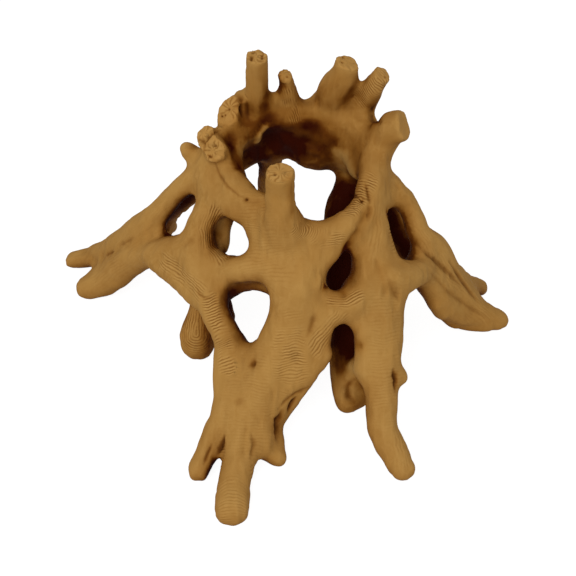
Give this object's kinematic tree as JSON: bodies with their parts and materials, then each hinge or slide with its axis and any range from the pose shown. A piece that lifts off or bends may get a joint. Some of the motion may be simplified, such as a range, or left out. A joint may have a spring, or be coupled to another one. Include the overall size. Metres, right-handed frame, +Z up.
{
  "type": "driftwood stump",
  "caption": "Driftwood stump for a tank or display: a hollow crown with sawn branch stubs, held up by splayed, forked roots with gaps to swim or see through.",
  "frame": {"origin": "centre of the bounding box's footprint, on the ground plane that the root tips stand on", "axes": "+Z up, the way the sawn stubs point; +X to the right, along the spread of the two side roots; -Y to the front, along the broad front root"},
  "size_m": [0.2764, 0.242, 0.1687],
  "materials": {
    "driftwood": "matt, bare, tan-brown, finely wrinkled and grooved along the grain, nearly black in the deep hollows, with cracked and pitted saw cuts"
  },
  "bodies": {
    "root": {"driftwood_stump": "driftwood"}
  },
  "joints": []
}
